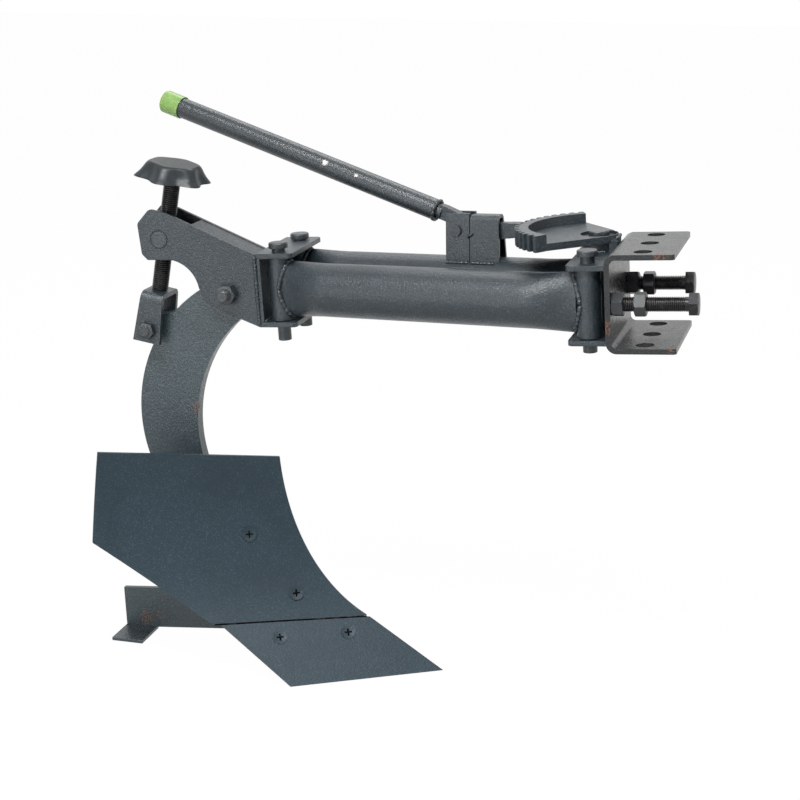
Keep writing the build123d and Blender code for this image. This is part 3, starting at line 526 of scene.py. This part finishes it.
def adjusters():
    """The hitch's two M16 adjusting bolts with their nuts."""
    neck = ADJUSTER_LENGTH - ADJUSTER_HEAD
    plain = ADJUSTER_R - 0.1
    for name, y, head, lock in (("right", -ADJUSTER_Y, 121.5, 53.0), ("left", ADJUSTER_Y, 104.0, 46.5)):
        bm = bmesh.new()
        along = axis_matrix((head - ADJUSTER_LENGTH, y, ADJUSTER_Z), (1, 0, 0))
        threads(bm, ADJUSTER_R, ADJUSTER_PITCH, 0.0, neck - 2.0, along)
        lathe(bm, ((5.0, neck - 5.0), (plain, neck - 4.0), (plain, neck + 1.0)), along)
        hex_body(bm, ADJUSTER_FLATS, neck, ADJUSTER_LENGTH, along, spin=0.3)
        made = piece(f"adjuster_bolt_{name}", "hitch", bm, BOLT, HITCH)
        bm = bmesh.new()
        along = axis_matrix((0, y, ADJUSTER_Z), (1, 0, 0))
        for x, spin in ((28.5, 0.2), (lock, 0.55)):
            hex_body(bm, ADJUSTER_FLATS, x, x + ADJUSTER_NUT, along, spin, bore=ADJUSTER_R + 0.05, both=True)
        nuts = piece(f"adjuster_nuts_{name}", "hitch", bm, RUSTY_BOLT, HITCH)
        if name == "right":
            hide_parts("adjuster_bolts")
            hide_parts("adjuster_nuts")


def pitch_screw():
    """The M20 pitch screw with its turned end and collar in the fork."""
    bm = bmesh.new()
    bottom = -EYE_BELOW + SCREW_ABOVE_EYE
    along = axis_matrix((0, 0, 0), (0, 0, 1))
    threads(bm, SCREW_R, SCREW_PITCH, bottom, SCREW_TOP, along)
    lathe(bm, ((5.0, bottom - 8.5), (5.0, bottom + 1)), along)
    lathe(bm, ((7.0, bottom - 10.0), (8.0, bottom - 9.2), (8.0, bottom - 6.1)), along)
    made = piece("pitch_screw", "screw", bm, BOLT, SCREW)
    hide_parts("adjusting_screw")


def through_bolt(bm, start, direction, grip, size, flats, head_h, nut_h, tail, pitch):
    """Hexagon bolt through a grip, with a nut on its threaded tail."""
    along = axis_matrix(start, direction)
    hex_body(bm, flats, 0.0, head_h, along @ Matrix.Rotation(math.pi, 4, "X"), 0.2)
    lathe(bm, ((size - 0.1, -1.0), (size - 0.1, grip)), along)
    threads(bm, size, pitch, grip - 0.5, grip + nut_h + tail, along)
    hex_body(bm, flats, grip, grip + nut_h, along, 0.45, bore=size * 0.98, both=True)


def dished_screw(bm, along, grip, proud):
    """Countersunk plough screw: dished face with a cross slot, shank and nut."""
    count = 96
    rings = []
    for radius in DISH_RINGS:
        ring = []
        for a in angles(count):
            x, y = radius * math.cos(a), radius * math.sin(a)
            depth = max(0.0, 1 - (radius / DISH_R) ** 2) + (SLOT_DEPTH if in_slot(x, y) else 0.0) - proud
            ring.append(along @ Vector((x, y, depth)))
        rings.append(ring)
    rings += [circle(along, 4.0, 4.0, count), circle(along, 4.0, grip + 6.5, count)]
    rings_to_mesh(bm, rings)
    hex_body(bm, 13.0, grip, grip + 6.0, along, 0.3, bore=3.95, both=True)


def in_slot(x, y):
    """True inside the cross slot."""
    return math.hypot(x, y) < SLOT_REACH and min(abs(x), abs(y)) < SLOT_HALF


def plough_screws():
    """Two screws through the board and two through the share, their slots painted near-black for shade."""
    bm = bmesh.new()
    places = []
    axis_y, axis_z = BOARD_CENTRE
    for x, z in BOARD_SCREWS:
        y = axis_y + math.sqrt(BOARD_R ** 2 - (z - axis_z) ** 2)
        places.append(axis_matrix((x, y, z), (0, y - axis_y, z - axis_z)))
        dished_screw(bm, places[-1], BOARD_GRIP, BOARD_PROUD)
    top_y, top_z = SHARE_TOP
    for x, z in SHARE_SCREWS:
        places.append(axis_matrix((x, top_y * z / top_z, z), (0, top_z, -top_y)))
        dished_screw(bm, places[-1], SHARE_GRIP, SHARE_PROUD)
    made = piece("plough_screws", "plough_body", bm, SCREW_PAINT, BODY)
    made.data.materials.append(SLOT_SHADE_SEAM_DIRT)
    # The slot faces take the near-black material, painted shade in the shallow slots.
    for polygon in made.data.polygons:
        for matrix in places:
            x, y, z = (BODY @ matrix).inverted() @ (polygon.center / MM)
            if z < 3.5 and in_slot(x, y):
                polygon.material_index = 1
    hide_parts("plough_bolts")


def hex_bolts():
    """The M14 pivot bolt, the M12 fork bolt and the landside's two M10 bolts."""
    bm = bmesh.new()
    through_bolt(bm, (PIVOT[0], SHANK_Y + 22.5, PIVOT[1]), (0, -1, 0), grip=45.0, size=7.0, flats=22.0,
                 head_h=9.0, nut_h=12.0, tail=10.0, pitch=2.0)
    made = piece("pivot_bolt_threaded", "rear_frame", bm, PIN_PAINT, HITCH)
    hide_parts("pivot_bolt")
    bm = bmesh.new()
    through_bolt(bm, (0, 25.5, -EYE_BELOW), (0, -1, 0), grip=51.0, size=6.0, flats=19.0,
                 head_h=7.5, nut_h=8.0, tail=2.5, pitch=1.75)
    made = piece("fork_bolt_threaded", "screw", bm, PIN_PAINT, SCREW)
    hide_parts("fork_bolt")
    bm = bmesh.new()
    for x, z in LANDSIDE_BOLTS:
        through_bolt(bm, (x, SHANK_Y - 14.1, z), (0, 1, 0), grip=28.2, size=5.0, flats=17.0,
                     head_h=6.5, nut_h=8.0, tail=2.0, pitch=1.5)
    made = piece("landside_bolts_threaded", "plough_body", bm, PIN_PAINT, STANDING)
    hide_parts("landside_bolts")


def sleeve_seams():
    """Closed seam lines where the squashed tube ends meet their sleeves."""
    lines = []
    half_wide, half_high, sleeve_r, off = 13.4, 33.2, 14.0, 0.8
    for rear in (False, True):
        line = []
        for a in closed(48):
            y, z = half_wide * math.cos(a), TUBE_Z + half_high * math.sin(a)
            x = math.sqrt(sleeve_r ** 2 - y ** 2) + off
            line.append((BEAM_L - x if rear else x, y, z))
        lines.append(line)
    return lines


def closed(steps):
    """Angles round a full turn with the first one again at the end."""
    return [2 * math.pi * i / steps for i in range(steps + 1)]


def sleeve_welds():
    """Beads round both ends of both beam tubes."""
    for name, body, place in (("right", "right_beam", NEAR_BEAM), ("left", "left_beam", FAR_BEAM)):
        weld_bead(f"sleeve_welds_{name}", body, sleeve_seams(), 3.0, place, seed=len(name))


def hitch_welds():
    """Beads where the pin plates meet the channel, and half round the sector's hub."""
    x = 22.0
    lines = [((x, y0, z), (x, y1, z)) for z, y0, y1 in (
        (83.3, -55, 22), (76.7, -55, 55), (0.4, -55, 55), (-6.3, -55, 55), (97.6, 25, 53))]
    lines.append(circle_line(0, HALF_PINS, 83.6, 20.4, 60, 300))
    weld_bead("hitch_welds", "hitch", lines, 2.0, HITCH, seed=5)


def rear_welds():
    """Beads along the back plate: the pin plates in front of it, the side plates behind it."""
    front, back = REAR_X - 17.8, REAR_X - 24.2
    mid = BEAM_L * math.sin(SWING)
    lines = [((front, mid - 55, z), (front, mid + 55, z)) for z in (76.6, 0.4)]
    lines += [((back, mid - 56, z), (back, mid + 56, z)) for z in (77.2, -0.2)]
    lines += [((back, SHANK_Y + side * 22.8, -3), (back, SHANK_Y + side * 22.8, 80)) for side in (-1, 1)]
    lines += [((back - 1, mid + side * 57.0, 1), (back - 1, mid + side * 57.0, 76)) for side in (-1, 1)]
    weld_bead("rear_welds", "rear_frame", lines, 2.2, HITCH, seed=9)


def guide_welds():
    """Beads at the feet of the lever's bracket and guide, and a lump between the two."""
    lines = [((x0, side * 16.8, 65.0), (x1, side * 16.8, 65.0))
             for x0, x1 in ((123, 155), (157, 187)) for side in (-1, 1)]
    lines.append(((151, 12.0, 99), (155, 12.4, 97), (159, 12.4, 94)))
    weld_bead("guide_welds", "left_beam", lines, 2.4, FAR_BEAM, seed=3)


def trunnion_ring():
    """Fine ring round the trunnion's end on the right side plate."""
    radius = 10.6
    ring = [(TRUNNION[0] + radius * math.cos(a), SHANK_Y - 22.4, TRUNNION[1] + radius * math.sin(a))
            for a in closed(32)]
    weld_bead("trunnion_ring", "trunnion", [ring], 0.9, HITCH, SCREW_PAINT, seed=11)


def seam_dirt():
    """Dark dirt along the butt of board and share."""
    seam = ((-274.0, 56.6, 66.4), (-180.0, 54.0, 63.3), (-85.0, 51.3, 59.9))
    weld_bead("seam_dirt", "plough_body", [seam], 1.0, BODY, SLOT_SHADE_SEAM_DIRT, seed=13)


def handle_weld():
    """Bead where the handle's tube takes the lever's crank."""
    rise = math.radians(19.1)
    radius = 11.2
    ring = []
    for a in closed(32):
        out = radius * math.cos(a)
        ring.append((203.4 - out * math.sin(rise), radius * math.sin(a), 123.2 + out * math.cos(rise)))
    weld_bead("handle_weld", "lock_lever", [ring], 2.6, FAR_BEAM, HANDLE_PAINT, seed=7)


adjusters()
pitch_screw()
plough_screws()
hex_bolts()
sleeve_welds()
hitch_welds()
rear_welds()
guide_welds()
trunnion_ring()
seam_dirt()
handle_weld()

for node_name, node_object in NODES.items():
    soften(node_object, 0.0 if node_name == "screw_knob" else EDGE_ROUNDING)


# Camera, light and floor

def camera():
    """The photograph's camera."""
    turned = Matrix((CAMERA_RIGHT, CAMERA_UP, -Vector(CAMERA_AHEAD))).transposed().to_4x4()
    data = bpy.data.cameras.new("camera")
    data.sensor_width = 36.0
    data.lens = CAMERA_LENS
    data.clip_start = 0.05
    data.clip_end = 50.0
    made = bpy.data.objects.new("camera", data)
    made.matrix_world = Matrix.Translation(CAMERA_PLACE) @ turned
    SCENE.collection.objects.link(made)
    SCENE.camera = made


def area(name, place, size, power):
    """Rectangular lamp aimed at the plough."""
    data = bpy.data.lights.new(name, "AREA")
    data.shape = "RECTANGLE"
    data.size, data.size_y = size
    data.energy = power
    made = bpy.data.objects.new(name, data)
    made.location = place
    made.rotation_euler = (Vector(AIM) - Vector(place)).to_track_quat("-Z", "Y").to_euler()
    SCENE.collection.objects.link(made)


def floor():
    """Pale seamless floor that shows white to the camera and keeps the shadow."""
    bm = bmesh.new()
    bmesh.ops.create_grid(bm, x_segments=1, y_segments=1, size=12.0)
    mesh = bpy.data.meshes.new("floor")
    bm.to_mesh(mesh)
    bm.free()
    made = bpy.data.objects.new("floor", mesh)
    made.location = (0, 0, FLOOR_Z * MM - 0.0005)
    SCENE.collection.objects.link(made)
    material, tree, bsdf = shader("floor_white")
    bsdf.inputs["Base Color"].default_value = (0.9, 0.9, 0.9, 1)
    bsdf.inputs["Roughness"].default_value = 0.9
    white = add(tree, "ShaderNodeEmission", Strength=1.0)
    blend = tree.nodes.new("ShaderNodeMixShader")
    tree.links.new(maths(tree, "MULTIPLY", seen_rays(tree), 0.985), blend.inputs[0])
    tree.links.new(bsdf.outputs[0], blend.inputs[1])
    tree.links.new(white.outputs[0], blend.inputs[2])
    tree.links.new(blend.outputs[0], tree.nodes["Material Output"].inputs["Surface"])
    mesh.materials.append(material)


def seen_rays(tree):
    """1 for camera, glossy and transmission rays."""
    path = tree.nodes.new("ShaderNodeLightPath")
    seen = maths(tree, "MAXIMUM", path.outputs["Is Camera Ray"], path.outputs["Is Glossy Ray"])
    return maths(tree, "MAXIMUM", seen, path.outputs["Is Transmission Ray"])


def world():
    """White to the camera and in reflections, a low even light on the rest."""
    made = bpy.data.worlds.new("world")
    SCENE.world = made
    made.use_nodes = True
    tree = made.node_tree
    background = tree.nodes["Background"]
    background.inputs["Color"].default_value = (1, 1, 1, 1)
    strength = maths(tree, "MULTIPLY_ADD", seen_rays(tree), 1.0 - AMBIENT, AMBIENT)
    tree.links.new(strength, background.inputs["Strength"])


camera()
floor()
world()
area("key", (-0.35, -1.5, 2.2), (2.2, 0.3), 98)
area("fill", (-1.4, -2.4, 0.4), (1.2, 1.2), 26)
area("side", (2.2, -0.6, 0.9), (1.2, 1.4), 7)
area("back", (-0.3, 1.6, 2.2), (2.0, 1.0), 36)
SCENE.view_settings.view_transform = "Standard"
